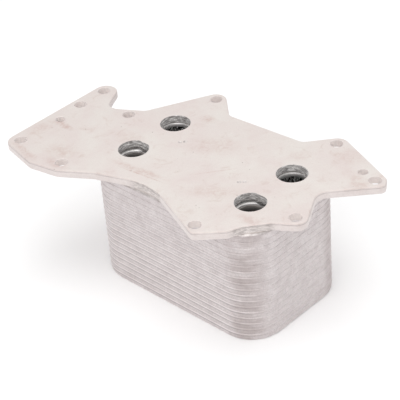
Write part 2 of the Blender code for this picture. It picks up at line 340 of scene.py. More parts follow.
for loop in holes:
    radius = spread(loop) / 2
    lowest, highest = min(p.y for p in loop), max(p.y for p in loop)
    centre = Vector(((max(p.x for p in loop) + min(p.x for p in loop)) / 2, lowest + radius))
    has_flat = highest - lowest < 1.97 * radius     # a full circle is twice its radius high
    is_port = radius > SMALLEST_PORT_R
    if is_port:
        port_centres.append(centre)
    soft = PORT_BREAK if is_port else HOLE_BREAK
    wall = []
    for grow, depth in ((soft + FLAT_MARGIN, 0.0), (soft, 0.0), (0.3 * soft, 0.3 * soft),
                        (0.0, soft), (0.0, PLATE_T - UNDER_BREAK), (UNDER_BREAK, PLATE_T),
                        (UNDER_BREAK + FLAT_MARGIN, PLATE_T)):
        flat = highest - centre.y + grow if has_flat else None
        wall.append((hole_ring(centre, radius + grow, flat), plate_high.z - depth))
    top_ring, bottom_ring = stack_rings(work, wall, bored_wall if is_port else punched_wall)
    top_rings.append(top_ring)
    bottom_rings.append(bottom_ring)
# Punch marks take half the bore walls' colour, with its painted shade and highlights.
for x, y in PUNCH_MARKS:
    centre = Vector((x, y)) * MM
    rim, pit = stack_rings(work, [
        (hole_ring(centre, radius * MM, sides=24), plate_high.z - depth * MM)
        for radius, depth in PUNCH_MARK], bored_wall, 0.5)
    top_rings.append(rim)
    work.faces.new(pit)
port_x, port_y = map(abs, port_centres[0])
close_flat(work, top_rings)
close_flat(work, bottom_rings)
mounting_plate = piece_from(work, "mounting_plate_blanked", plate_finish)
ride_as(mounting_plate, 35, "blanked_plate", "mounting_plate")


# Cover plate
# A flat aluminium plate that closes the core, brazed under the mounting plate. Its coolant ports
# are counterbored from above, and its faced ledges at the bottom of the bores above them are
# painted near white: a painted highlight, for the light they catch there.

cover_low, cover_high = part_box("cover_plate")
CORE_CORNER_R = 23.6 * MM
COUNTERBORE = 1.9 * MM          # depth of the coolant ports' counterbore


def off_axis(tree, place, axis):
    """Level distance from an upright axis."""
    away = add(tree, "ShaderNodeVectorMath", {0: place, 1: axis}, operation="SUBTRACT")
    away = add(tree, "ShaderNodeVectorMath", {0: away, 1: (1.0, 1.0, 0.0)}, operation="MULTIPLY")
    return add(tree, "ShaderNodeVectorMath", {0: away}, operation="LENGTH").outputs["Value"]


# Braze-clad aluminium: duller and greyer than the blanked plate, mottled where the clad has run,
# with bright turned rings round the ports. The ledges in the rings are painted near white, as a
# painted highlight.
cover_finish, tree, shader, place = new_finish("braze_clad_aluminium_cover")
CLAD_MOTTLE = 5.0               # mm
mottle = add(tree, "ShaderNodeTexNoise", {"Vector": place, "Scale": 1 / (CLAD_MOTTLE * MM),
             "Detail": 4.0, "Roughness": 0.65})
colour = tinted(tree, "#DDD6D2", "#C9BFBA", mottle, 0.35, 0.65)
turned = tinted(tree, "#ECEAE9", "#D2CFCE", mottle, 0.35, 0.65)
PORT_SPOT = 10.4 * MM           # radius round a port that the facing tool reached
quarter = add(tree, "ShaderNodeVectorMath", {0: place}, operation="ABSOLUTE")
away = off_axis(tree, quarter, (port_x, port_y, 0.0))
faced = add(tree, "ShaderNodeMath", {0: away, 1: PORT_SPOT}, operation="LESS_THAN")
level = add(tree, "ShaderNodeSeparateXYZ", {0: place}).outputs["Z"]
# The faced ledges get a painted highlight, near white.
painted_ledge_highlights = [add(tree, "ShaderNodeMath", {0: level, 1: height, 2: 0.06 * MM}, operation="COMPARE")
          for height in (cover_high.z, cover_high.z - COUNTERBORE)]
ledge = add(tree, "ShaderNodeMath", {0: painted_ledge_highlights[0], 1: painted_ledge_highlights[1]}, operation="MAXIMUM")
turned = add(tree, "ShaderNodeMix", {0: ledge, 1: turned, 2: "#FDFCFB"}, data_type="RGBA")
colour = add(tree, "ShaderNodeMix", {0: faced, 1: colour, 2: turned}, data_type="RGBA")
roughness = add(tree, "ShaderNodeMapRange", {"Value": faced, "To Min": 0.6, "To Max": 0.48})
bump = add(tree, "ShaderNodeBump", {"Height": mottle, "Strength": 0.4, "Distance": 0.12 * MM})
connect(tree, shader, {"Base Color": colour, "Metallic": 1.0, "Roughness": roughness,
                       "Normal": bump})


def core_outline(low, high, inset, sides=18):
    """Rounded rectangle of the core, drawn in by the given amount."""
    radius = CORE_CORNER_R - inset
    points = []
    for corner, (sign_x, sign_y) in enumerate(((1, 1), (-1, 1), (-1, -1), (1, -1))):
        centre = Vector((high.x - inset - radius if sign_x > 0 else low.x + inset + radius,
                         high.y - inset - radius if sign_y > 0 else low.y + inset + radius))
        for i in range(sides + 1):
            angle = math.pi / 2 * (corner + i / sides)
            points.append(centre + Vector((math.cos(angle), math.sin(angle))) * radius)
    return points


COVER_EDGE = [  # inset and depth in mm, from the top face to the underside
    (1.6, 0.0), (0.9, 0.0), (0.55, 0.06), (0.35, 0.3), (0.35, 2.65), (0.5, 2.8), (1.6, 2.8)]
LEDGE_R = 9.0 * MM              # bore below a ledge
LEDGE_ROUND = 0.08 * MM         # the ledge's edge is rounded by this much
COVER_BREAK = 0.12 * MM         # chamfer round a port on the underside
FACE_RING = 1.0 * MM            # flat ring kept round a port, so the shading stays level
COUNTERBORE_R = 10.0 * MM
COUNTERBORE_FLAT = 9.1 * MM
COUNTERBORE_RING = 0.8 * MM     # flat ring kept round a counterbore
OIL_TAPER, COOLANT_TAPER = 0.5 * MM, 0.3 * MM
work = bmesh.new()
top_ring, bottom_ring = stack_rings(work, [
    (core_outline(cover_low, cover_high, inset * MM), cover_high.z - depth * MM)
    for inset, depth in COVER_EDGE])
top_rings, bottom_rings = [top_ring], [bottom_ring]
for centre in port_centres:
    is_oil = centre.y > 0
    ledge = cover_high.z if is_oil else cover_high.z - COUNTERBORE
    taper = OIL_TAPER if is_oil else COOLANT_TAPER
    wall = [(hole_ring(centre, LEDGE_R + taper), ledge),
            (hole_ring(centre, LEDGE_R + taper - LEDGE_ROUND), ledge - 1.5 * LEDGE_ROUND),
            (hole_ring(centre, LEDGE_R), ledge - 2.2 * taper),
            (hole_ring(centre, LEDGE_R), cover_low.z + COVER_BREAK),
            (hole_ring(centre, LEDGE_R + COVER_BREAK), cover_low.z),
            (hole_ring(centre, LEDGE_R + FACE_RING), cover_low.z)]
    if is_oil:
        wall.insert(0, (hole_ring(centre, LEDGE_R + FACE_RING), ledge))
    else:
        for grow, height in ((0.0, ledge), (0.0, cover_high.z), (COUNTERBORE_RING, cover_high.z)):
            flat = COUNTERBORE_FLAT + grow
            wall.insert(0, (hole_ring(centre, COUNTERBORE_R + grow, flat), height))
    top_ring, bottom_ring = stack_rings(work, wall)
    top_rings.append(top_ring)
    bottom_rings.append(bottom_ring)
close_flat(work, top_rings)
close_flat(work, bottom_rings)
cover_plate = piece_from(work, "cover_plate_brazed", cover_finish)
ride_as(cover_plate, 35, "brazed_cover", "cover_plate")


# Braze bead
# Braze metal that ran out over and under the cover plate, and set in two ragged beads round the
# core's top edge. It is aluminium-silicon alloy, and its bright lip shows in the two scoops.

# Aluminium-silicon braze metal: brighter and smoother than the clad where it flowed, dull in
# patches.
bead_finish, tree, shader, place = new_finish("aluminium_silicon_braze_run")
FLOW = 3.0                      # mm, width of the dull patches
flow = add(tree, "ShaderNodeTexNoise", {"Vector": place, "Scale": 1 / (FLOW * MM), "Detail": 3.0,
           "Roughness": 0.65})
colour = tinted(tree, "#DED8D6", "#C2BAB7", flow, 0.4, 0.62)
connect(tree, shader, {"Base Color": colour, "Metallic": 1.0, "Roughness": 0.5})


def poly_curves(name, lines, cyclic=False):
    """Curve data with one straight-sided spline for each list of points."""
    curves = bpy.data.curves.new(name, "CURVE")
    curves.dimensions = "3D"
    for line in lines:
        spline = curves.splines.new("POLY")
        spline.points.add(len(line) - 1)
        spline.use_cyclic_u = cyclic
        for point, place in zip(spline.points, line):
            point.co = (*place, 1.0)
    return curves


def new_tree(name, made, **named):
    """New Geometry Nodes tree with named inputs of each type. Returns it and its inputs."""
    tree = bpy.data.node_groups.new(name, "GeometryNodeTree")
    for kind, names in {**named, "Material": ["Finish"]}.items():
        for socket in names:
            tree.interface.new_socket(socket, in_out="INPUT", socket_type="NodeSocket" + kind)
    tree.interface.new_socket(made, in_out="OUTPUT", socket_type="NodeSocketGeometry")
    return tree, add(tree, "NodeGroupInput").outputs


def waved(tree, geometry, place, width, detail, amount):
    """Geometry pushed about by noise of the given width."""
    wave = add(tree, "ShaderNodeTexNoise", {"Vector": place, "Scale": 1 / width,
               "Detail": detail, "Roughness": 0.6}).outputs["Color"]
    wave = add(tree, "ShaderNodeVectorMath", {0: wave, 1: (0.5, 0.5, 0.5)}, operation="SUBTRACT")
    wave = add(tree, "ShaderNodeVectorMath", {0: wave, "Scale": amount}, operation="SCALE")
    return add(tree, "GeometryNodeSetPosition", {"Geometry": geometry, "Offset": wave})


def end_tree(tree, geometry, size, lift=0.0):
    """End a tree with real geometry, lifted to its place and in its finish."""
    lift = add(tree, "ShaderNodeCombineXYZ", {"Z": lift})
    geometry = add(tree, "GeometryNodeTransform", {"Geometry": geometry, "Translation": lift})
    geometry = add(tree, "GeometryNodeRealizeInstances", {"Geometry": geometry})
    geometry = add(tree, "GeometryNodeSetMaterial", {"Geometry": geometry,
                   "Material": size["Finish"]})
    add(tree, "NodeGroupOutput", {0: geometry})


BEAD_STEP = 1.6 * MM            # between points along the bead
LOW_BEAD = 0.4 * MM             # height of the lower bead's top over the bottom of the cover plate
BEAD_INSET = 0.35 * MM          # how far the cover plate's edge is drawn in
BEAD_LUMP = 8.0 * MM            # length of a fat or a thin stretch
BEAD_CRUMB = 2.2 * MM           # width of the ragged bits
BEAD_SECTION = [  # distance out from the edge, and height over it, in mm
    (-0.3, 0.0), (0.75, 0.0), (0.5, 0.3), (0.25, 0.7), (0.05, 1.1), (-0.3, 1.1)]
bead_path = core_outline(cover_low, cover_high, BEAD_INSET)
bead_lines = poly_curves("bead_section_and_paths", [
    [(x * MM, -y * MM, 0.0) for x, y in BEAD_SECTION],
    [(*point, plate_low.z) for point in bead_path],
    [(*point, cover_low.z + LOW_BEAD) for point in bead_path]], cyclic=True)

tree, size = new_tree("braze_bead", "Bead", Geometry=["Section and paths"],
                      Float=["Step", "Thinnest", "Fattest", "Raggedness", "Seed"])
number = add(tree, "GeometryNodeInputIndex")
is_path = add(tree, "FunctionNodeCompare", {0: number, 1: 0}, data_type="INT",
              operation="GREATER_THAN")
parted = add(tree, "GeometryNodeSeparateGeometry", {"Geometry": size["Section and paths"],
             "Selection": is_path}, domain="CURVE").outputs
path = add(tree, "GeometryNodeResampleCurve", {"Curve": parted["Selection"],
           "Length": size["Step"]}, mode="LENGTH")
path = add(tree, "GeometryNodeSetCurveNormal", {"Curve": path}, mode="Z_UP")
place = add(tree, "ShaderNodeVectorMath", {
    0: add(tree, "GeometryNodeInputPosition"),
    1: add(tree, "ShaderNodeCombineXYZ", {"Z": size["Seed"]})}, operation="ADD")
fat = add(tree, "ShaderNodeTexNoise", {"Vector": place, "Scale": 1 / BEAD_LUMP, "Detail": 3.0})
fat = add(tree, "ShaderNodeMapRange", {"Value": fat, "From Min": 0.35, "From Max": 0.65,
          "To Min": size["Thinnest"], "To Max": size["Fattest"]})
path = add(tree, "GeometryNodeSetCurveRadius", {"Curve": path, "Radius": fat})
bead = add(tree, "GeometryNodeCurveToMesh", {"Curve": path, "Profile Curve": parted["Inverted"]})
bead = waved(tree, bead, place, BEAD_CRUMB, 2.0, size["Raggedness"])
end_tree(tree, bead, size)


def grown(name, tree, base, **sizes):
    """Piece that a Geometry Nodes tree grows from its base data, with its named inputs set."""
    source = bpy.data.objects.new(name + "_source", base)
    bpy.context.scene.collection.objects.link(source)
    grow = source.modifiers.new("grow", "NODES")
    grow.node_group = tree
    for socket in tree.interface.items_tree:
        key = socket.name.lower().replace(" ", "_")
        if socket.in_out == "INPUT" and key in sizes:
            grow[socket.identifier] = sizes.pop(key)
    assert not sizes, f"{name}: no such input as {list(sizes)}"
    depsgraph = bpy.context.evaluated_depsgraph_get()
    mesh = bpy.data.meshes.new_from_object(source.evaluated_get(depsgraph))
    bpy.data.objects.remove(source, do_unlink=True)
    mesh.name = name
    work = bmesh.new()
    work.from_mesh(mesh)
    bmesh.ops.recalc_face_normals(work, faces=work.faces)
    work.to_mesh(mesh)
    work.free()
    return bpy.data.objects.new(name, mesh)


bead = grown("braze_beads_round_cover", tree, bead_lines, step=BEAD_STEP, thinnest=0.45,
             fattest=1.1, raggedness=0.5 * MM, seed=0.11, finish=bead_finish)
ride_as(bead, 60, "brazed_cover")


# Core pans
# Eighteen dished plates pressed from braze-clad aluminium sheet and nested in a stack. Each rim
# leans out and up round the pan above, and the clad melts into a fillet there: a soft ridge.

def past_corner(tree, quarter, corner):
    """Level distance past the centre of the core's corner, which is given as x, y, 1.0."""
    past = add(tree, "ShaderNodeVectorMath", {0: quarter, 1: corner}, operation="SUBTRACT")
    past = add(tree, "ShaderNodeVectorMath", {0: past, 1: (0.0, 0.0, 0.0)}, operation="MAXIMUM")
    return add(tree, "ShaderNodeVectorMath", {0: past}, operation="LENGTH").outputs["Value"]


# Braze-clad sheet after the furnace: a dull grey-white skin with darker runs in the joints, rough
# where the clad has crept, and brown flux marks down two corners.
core_finish, tree, shader, place = new_finish("braze_clad_aluminium_sheet")
SKIN_MOTTLE = 7.0               # mm
RUN = 4.0                       # mm, length of a dark run
GRIT = 0.8                      # mm
FLUX_BAND = 6.0                 # mm, height of a band in the flux marks
mottle = add(tree, "ShaderNodeTexNoise", {"Vector": place, "Scale": 1 / (SKIN_MOTTLE * MM),
             "Detail": 5.0, "Roughness": 0.65, "Distortion": 0.5})
runs = add(tree, "ShaderNodeMapping", {"Vector": place, "Scale": (1.0, 1.0, 3.0)})
runs = add(tree, "ShaderNodeTexNoise", {"Vector": runs, "Scale": 1 / (RUN * MM), "Detail": 4.0,
           "Roughness": 0.7})
grit = add(tree, "ShaderNodeTexNoise", {"Vector": place, "Scale": 1 / (GRIT * MM), "Detail": 3.0,
           "Roughness": 0.7})
colour = tinted(tree, "#E5DFDF", "#DBD4D4", mottle, 0.3, 0.7)
colour = tinted(tree, colour, "#BFB8B7", runs, 0.5, 0.75, 0.3)
colour = tinted(tree, colour, "#A7A19F", grit, 0.4, 0.75, 0.4)
# Every lip gets a painted highlight, for the light it catches from above, and under it a line of
# painted shade in the joint. Both are painted faint near the top, where the overhanging blanked
# plate already shades the core, and stronger further down, where light from the floor fills the
# joints. On the right-hand end, pale lines of painted light lift the shade in the crevices.
PAN_PITCH = 4.4 * MM
MID_PAN = 2.0 * MM              # over the bottom of a pan, where a line's height is counted from
part = add(tree, "ShaderNodeSeparateXYZ", {0: place}).outputs
level = part["Z"]
in_pan = add(tree, "ShaderNodeMath", {0: level, 1: cad_low.z + MID_PAN}, operation="SUBTRACT")
in_pan = add(tree, "ShaderNodeMath", {0: in_pan, 1: PAN_PITCH}, operation="FLOORED_MODULO")
lower = add(tree, "ShaderNodeMapRange", {"Value": level, "From Min": cad_high.z - 15.0 * MM,
            "From Max": cad_high.z - 60.0 * MM, "To Min": 0.1})
end = add(tree, "ShaderNodeMapRange", {"Value": part["X"], "From Min": 60.0 * MM,
          "From Max": 70.0 * MM})
sides = add(tree, "ShaderNodeMath", {0: 1.0, 1: end}, operation="SUBTRACT")
sides = add(tree, "ShaderNodeMath", {0: sides, 1: lower}, operation="MULTIPLY")
# Painted highlight over each lip, painted shade under it, painted light in the right-hand
# crevices.
PAINTED_LIP_LIGHT_AND_SHADE = [  # middle and half width in mm, strength, where it shows, colour
    (2.5, 0.65, 0.7, sides, "#F6F1F1"), (1.35, 0.7, 0.5, sides, "#989190"),
    (3.3, 0.5, 0.3, end, "#FFFFFF")]
for middle, half_width, most, where, tone in PAINTED_LIP_LIGHT_AND_SHADE:
    off = add(tree, "ShaderNodeMath", {0: in_pan, 1: middle * MM}, operation="SUBTRACT")
    off = add(tree, "ShaderNodeMath", {0: off}, operation="ABSOLUTE")
    colour = tinted(tree, colour, tone, off, half_width * MM, 0.0, most, where, soft=True)
# Flux ran down two corners in the furnace, and left them darker and browner, in level bands.
FLUX_MARKS = [(64.0, -43.0, 18.0, 0.6), (73.0, 30.0, 10.0, 0.4)]  # x, y, reach in mm, strength
banded = add(tree, "ShaderNodeMapping", {"Vector": place, "Scale": (0.25, 0.25, 1.0)})
banded = add(tree, "ShaderNodeTexNoise", {"Vector": banded, "Scale": 1 / (FLUX_BAND * MM),
             "Detail": 3.0, "Roughness": 0.6})
patchy = add(tree, "ShaderNodeMapRange", {"Value": banded, "From Min": 0.35, "From Max": 0.62,
             "To Min": 0.25})
for x, y, reach, strength in FLUX_MARKS:
    away = off_axis(tree, place, (x * MM, y * MM, 0.0))
    colour = tinted(tree, colour, "#AFA3A1", away, reach * MM, 0.2 * reach * MM, strength, patchy,
                    soft=True)
# Inside the core the floors and collars are painted darker with depth, as painted shade for the
# light that doesn't reach down there.
INNER_WALL = 2.6 * MM           # how far inside the outline the painted shade starts
LAST_SKIN = 0.3 * MM            # the underside of the last pan is left without painted shade, like the outside
quarter = add(tree, "ShaderNodeVectorMath", {0: place}, operation="ABSOLUTE")
corner = (cover_high.x - CORE_CORNER_R, cover_high.y - CORE_CORNER_R, 1.0)
past = past_corner(tree, quarter, corner)
inner = add(tree, "ShaderNodeMath", {0: past, 1: CORE_CORNER_R - INNER_WALL},
            operation="LESS_THAN")
lifted = add(tree, "ShaderNodeMath", {0: level, 1: cad_low.z + LAST_SKIN},
             operation="GREATER_THAN")
inner = add(tree, "ShaderNodeMath", {0: inner, 1: lifted}, operation="MULTIPLY")
painted_depth_shade = tinted(tree, "#C9C3C0", "#332F2E", level, cad_high.z - 9.0 * MM, cad_high.z - 13.5 * MM)
colour = add(tree, "ShaderNodeMix", {0: inner, 1: colour, 2: painted_depth_shade}, data_type="RGBA")
roughness = add(tree, "ShaderNodeMapRange", {"Value": mottle, "From Min": 0.3, "From Max": 0.7,
                "To Min": 0.66, "To Max": 0.8})
relief = add(tree, "ShaderNodeMath", {0: runs, 1: grit}, operation="ADD")
bump = add(tree, "ShaderNodeBump", {"Height": relief, "Strength": 0.4, "Distance": 0.15 * MM})
connect(tree, shader, {"Base Color": colour, "Metallic": 1.0, "Roughness": roughness,
                       "Normal": bump})

PAN_COUNT = 18
SHEET = 0.6                     # mm
FLAT_RUN = 1.5                  # mm of flat floor that is swept with the rim
BEND = 1.2                      # mm, outer radius where the floor turns up into the rim
LEAN = 0.28                     # mm that the lip stands out past the foot of the rim
LIP = 4.3                       # mm, height where the lip stands out furthest
FILLET_TOP = 5.1                # mm, where the braze fillet runs out on the pan above
PORT_R = 9.2                    # mm
COLLAR_R = 8.8                  # mm, inside a collar
COLLAR_TOP = 4.35               # mm over the bottom of the pan
COLLAR_FREE = 2.0               # mm; what is higher than this moves when a collar is made taller
COVER_GAP = 0.05                # mm between the first collar and the cover plate
HOLE_GUIDE = 12.0               # mm, radius of the circle that a port's edge is swept round
WAVE = 9.0                      # mm, length of a wave in the rim
SEED_SHIFT = 0.037              # m that the noise is moved by from one pan to the next


def bend(centre_x, centre_y, radius, start, stop, steps):
    """Points along an arc, with its angles in degrees."""
    angles = [math.radians(start + (stop - start) * i / steps) for i in range(steps + 1)]
    return [(centre_x + radius * math.cos(a), centre_y + radius * math.sin(a)) for a in angles]


# Sections across a pan, as distance past the guide and height over the bottom of the pan, in mm.
rim_section = [(0.0, SHEET), (FLAT_RUN, SHEET)]
rim_section += bend(FLAT_RUN, BEND, BEND - SHEET, -60, 0, 2)
rim_foot = FLAT_RUN + BEND
rim_section += [(rim_foot - SHEET + 0.15, 4.2), (rim_foot - 0.25, 4.75),
                (rim_foot - 0.12, FILLET_TOP), (rim_foot + 0.02, FILLET_TOP),
                (rim_foot + 0.1, LIP + 0.55), (rim_foot + 0.2, LIP + 0.34),
                (rim_foot + LEAN - 0.04, LIP + 0.14), (rim_foot + LEAN, LIP - 0.06),
                (rim_foot + LEAN - 0.04, LIP - 0.34), (rim_foot + LEAN - 0.16, LIP - 0.8),
                (rim_foot + 0.1, LIP - 1.3), (rim_foot + 0.03, 2.1)]
rim_section += bend(FLAT_RUN, BEND, BEND, 0, -90, 5)
rim_section += [(0.0, 0.0)]
reach = HOLE_GUIDE - COLLAR_R
collar_section = [(0.0, 0.0), (-reach + 1.0, 0.0)]
collar_section += bend(-reach + 1.0, 1.0, 1.0, -90, -180, 4)
collar_section += [(-reach, COLLAR_TOP - 0.1), (-reach + 0.12, COLLAR_TOP),
                   (-reach + SHEET - 0.1, COLLAR_TOP), (-reach + SHEET, COLLAR_TOP - 0.15)]
collar_section += bend(-reach + 1.0, 1.0, 1.0 - SHEET, -180, -90, 3) + [(0.0, SHEET)]
reach = HOLE_GUIDE - PORT_R
plain_section = [(0.0, 0.0), (-reach + 0.1, 0.0), (-reach, 0.1), (-reach, SHEET - 0.1),
                 (-reach + 0.1, SHEET), (0.0, SHEET)]

sections = poly_curves("pan_sections", [
    [(across * MM, -up * MM, 0.0) for across, up in section]
    for section in (rim_section, collar_section, plain_section)])

tree, size = new_tree("pressed_pan", "Pan", Geometry=["Sections"], Float=[
    "Length", "Width", "Corner radius", "Hole guide", "Port x", "Port y", "Collar row",
    "Collar extra", "Sheet", "Bottom", "Waviness"], Int=["Points round rim", "Seed"],
    Bool=["Ported"])
guide = add(tree, "GeometryNodeCurvePrimitiveQuadrilateral",
            {"Width": size["Length"], "Height": size["Width"]})
guide = add(tree, "GeometryNodeFilletCurve", {"Curve": guide, "Count": 24,
            "Radius": size["Corner radius"]}, mode="POLY")
guide = add(tree, "GeometryNodeResampleCurve", {"Curve": guide,
            "Count": size["Points round rim"]}, mode="COUNT")
guide = add(tree, "GeometryNodeSetCurveNormal", {"Curve": guide}, mode="Z_UP")
number = add(tree, "GeometryNodeInputIndex")
section_of = []
for index in range(3):
    chosen = add(tree, "FunctionNodeCompare", {0: number, 1: index}, data_type="INT",
                 operation="EQUAL")
    section_of.append(add(tree, "GeometryNodeSeparateGeometry",
                      {"Geometry": size["Sections"], "Selection": chosen}, domain="CURVE"))
rim = add(tree, "GeometryNodeCurveToMesh", {"Curve": guide, "Profile Curve": section_of[0]})
# The rim waves a little, where the sheet has sprung and the clad has run.
position = add(tree, "GeometryNodeInputPosition")
up = add(tree, "ShaderNodeSeparateXYZ", {0: position}).outputs["Z"]
free = add(tree, "ShaderNodeMapRange", {"Value": up, "From Min": BEND * MM,
           "From Max": 2.5 * BEND * MM})
amount = add(tree, "ShaderNodeMath", {0: free, 1: size["Waviness"]}, operation="MULTIPLY")
shift = add(tree, "ShaderNodeCombineXYZ", {"Z": add(tree, "ShaderNodeMath",
            {0: size["Seed"], 1: SEED_SHIFT}, operation="MULTIPLY")})
moved = add(tree, "ShaderNodeVectorMath", {0: position, 1: shift}, operation="ADD")
rim = waved(tree, rim, moved, WAVE * MM, 3.0, amount)
edges, rings = [], []
for sign_x in (-1, 1):
    for sign_y in (-1, 1):
        centre = add(tree, "ShaderNodeVectorMath", {
            0: add(tree, "ShaderNodeCombineXYZ", {"X": size["Port x"], "Y": size["Port y"]}),
            1: (sign_x, sign_y, 0.0)}, operation="MULTIPLY")
        ring = add(tree, "GeometryNodeCurvePrimitiveCircle", {"Resolution": 48,
                   "Radius": size["Hole guide"]})
        ring = add(tree, "GeometryNodeTransform", {"Geometry": ring, "Translation": centre})
        ring = add(tree, "GeometryNodeSetCurveNormal", {"Curve": ring}, mode="Z_UP")
        collared = add(tree, "FunctionNodeCompare", {0: add(tree, "ShaderNodeMath",
                       {0: size["Collar row"], 1: sign_y}, operation="MULTIPLY"), 1: 0.0},
                       operation="GREATER_THAN")
        section = add(tree, "GeometryNodeSwitch", {"Switch": collared, "False": section_of[2],
                      "True": section_of[1]}, input_type="GEOMETRY")
        rings.append(ring)
        edges.append(add(tree, "GeometryNodeCurveToMesh", {"Curve": ring,
                     "Profile Curve": section}))
openings, edges = [
    add(tree, "GeometryNodeSwitch", {"Switch": size["Ported"],
        "True": add(tree, "GeometryNodeJoinGeometry", {0: parts})}, input_type="GEOMETRY")
    for parts in (rings, edges)]
edges = add(tree, "GeometryNodeSetPosition", {"Geometry": edges, "Selection": add(
            tree, "FunctionNodeCompare", {0: up, 1: COLLAR_FREE * MM}, operation="GREATER_THAN"),
            "Offset": add(tree, "ShaderNodeCombineXYZ", {"Z": size["Collar extra"]})})
floor_edge = add(tree, "GeometryNodeJoinGeometry", {0: [guide, openings]})
under = add(tree, "GeometryNodeFillCurve", {"Curve": floor_edge}, mode="TRIANGLES")
over = add(tree, "GeometryNodeTransform", {"Geometry": under,
           "Translation": add(tree, "ShaderNodeCombineXYZ", {"Z": size["Sheet"]})})
whole = add(tree, "GeometryNodeJoinGeometry", {0: [rim, edges, under, over]})
whole = add(tree, "GeometryNodeMergeByDistance", {"Geometry": whole, "Distance": WELD})
end_tree(tree, whole, size, size["Bottom"])

inset = (FLAT_RUN + BEND + LEAN) * MM
for number in range(1, PAN_COUNT + 1):
    pan_low, pan_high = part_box(f"core_pan_{number:02d}")
    to_cover = cover_low.z - pan_low.z - (COLLAR_TOP + COVER_GAP) * MM
    pan = grown(f"core_pan_pressed_{number:02d}", tree, sections,
                length=pan_high.x - pan_low.x - 2 * inset,
                width=pan_high.y - pan_low.y - 2 * inset, corner_radius=CORE_CORNER_R - inset,
                points_round_rim=240, hole_guide=HOLE_GUIDE * MM, port_x=port_x, port_y=port_y,
                collar_row=-1.0 if number % 2 else 1.0, bottom=pan_low.z,
                collar_extra=to_cover if number == 1 else 0.0, sheet=SHEET * MM,
                waviness=0.18 * MM, seed=number, ported=number < PAN_COUNT, finish=core_finish)
    ride_as(pan, 40, "brazed_core", f"core_pan_{number:02d}")


# Turbulators
# A folded fin sheet lies in each passage and is brazed to the pans above and below. It is lanced
# into strips, each half a fold out of step with the next, and holes are punched for the ports.

# Bright rolled fin stock: thin aluminium that stays shinier than the clad pans. In patches it is
# painted near black, as painted shade for the dark passages, and between them near white, as
# painted glints, so a port shows bright flecks against the dark.
fin_finish, tree, shader, place = new_finish("rolled_aluminium_fin_stock")
ROLLING = 0.6                   # mm between rolling lines
SHADE_PATCH = 1.8                      # mm, width of a patch of painted shade
rolling = add(tree, "ShaderNodeMapping", {"Vector": place, "Scale": (0.1, 1.0, 1.0)})
rolling = add(tree, "ShaderNodeTexNoise", {"Vector": rolling, "Scale": 1 / (ROLLING * MM),
              "Detail": 2.0})
shade_and_glint_patches = add(tree, "ShaderNodeTexNoise", {"Vector": place, "Scale": 1 / (SHADE_PATCH * MM),
            "Detail": 2.0})
colour = tinted(tree, "#FFFFFF", "#EEECE9", rolling, 0.3, 0.7)
# Near black patches of painted shade, with near white painted glints between them.
colour = tinted(tree, "#2E2B2A", colour, shade_and_glint_patches, 0.42, 0.48)
connect(tree, shader, {"Base Color": colour, "Metallic": 1.0, "Roughness": 0.55})

FOLD_STEP = 1.0                 # mm; four steps make one fold
STRIP = 4.0                     # mm, width of a strip
STRIP_GAP = 0.1                 # mm between strips
FIN_SHEET = 0.2                 # mm
FIN_BITE = 0.1                  # mm that a crest reaches into the braze
OPEN_CLEARANCE = 8.7            # mm, radius punched out of the sheet where a port opens into it
COLLAR_CLEARANCE = 10.8         # mm, radius punched out of it round a collar

half_strip, half_sheet = (STRIP - STRIP_GAP) * MM / 2, FIN_SHEET * MM / 2
strip_section = poly_curves("fin_strip_section", [[
    (-half_strip, -half_sheet, 0.0), (half_strip, -half_sheet, 0.0),
    (half_strip, half_sheet, 0.0), (-half_strip, half_sheet, 0.0)]], cyclic=True)

tree, size = new_tree("lanced_fin_sheet", "Sheet", Geometry=["Strip section"], Float=[
    "Length", "Width", "Fold step", "Strip", "Crest", "Port x", "Port y", "Collar row",
    "Open clearance", "Collar clearance", "Corner x", "Corner y", "Corner radius", "Middle"],
    Int=["Points along", "Strips"])
grid = add(tree, "GeometryNodeMeshGrid", {"Size X": size["Length"], "Size Y": size["Width"],
           "Vertices X": size["Points along"], "Vertices Y": size["Strips"]})
ends = add(tree, "GeometryNodeInputMeshEdgeVertices").outputs
across = add(tree, "ShaderNodeVectorMath", {0: ends["Position 1"], 1: ends["Position 2"]},
             operation="SUBTRACT")
across = add(tree, "ShaderNodeSeparateXYZ", {0: across}).outputs["Y"]
across = add(tree, "ShaderNodeMath", {0: across}, operation="ABSOLUTE")
across = add(tree, "FunctionNodeCompare", {0: across, 1: 0.1 * MM}, operation="GREATER_THAN")
lines = add(tree, "GeometryNodeDeleteGeometry", {"Geometry": grid.outputs["Mesh"],
            "Selection": across}, domain="EDGE", mode="EDGE_FACE")
position = add(tree, "GeometryNodeInputPosition")
part = add(tree, "ShaderNodeSeparateXYZ", {0: position}).outputs
quarter = add(tree, "ShaderNodeVectorMath", {0: position}, operation="ABSOLUTE")
from_port = off_axis(tree, quarter, add(tree, "ShaderNodeCombineXYZ", {
    "X": size["Port x"], "Y": size["Port y"]}))
beside_collar = add(tree, "ShaderNodeMath", {0: part["Y"], 1: size["Collar row"]},
                    operation="MULTIPLY")
beside_collar = add(tree, "FunctionNodeCompare", {0: beside_collar, 1: 0.0},
                    operation="GREATER_THAN")
clearance = add(tree, "GeometryNodeSwitch", {"Switch": beside_collar,
                "False": size["Open clearance"], "True": size["Collar clearance"]},
                input_type="FLOAT")
in_port = add(tree, "FunctionNodeCompare", {0: from_port, 1: clearance}, operation="LESS_THAN")
past = past_corner(tree, quarter, add(tree, "ShaderNodeCombineXYZ", {
    "X": size["Corner x"], "Y": size["Corner y"], "Z": 1.0}))
outside = add(tree, "FunctionNodeCompare", {0: past, 1: size["Corner radius"]},
              operation="GREATER_THAN")
gone = add(tree, "FunctionNodeBooleanMath", {0: in_port, 1: outside}, operation="OR")
step = add(tree, "ShaderNodeMath", {0: part["X"], 1: size["Fold step"]}, operation="DIVIDE")
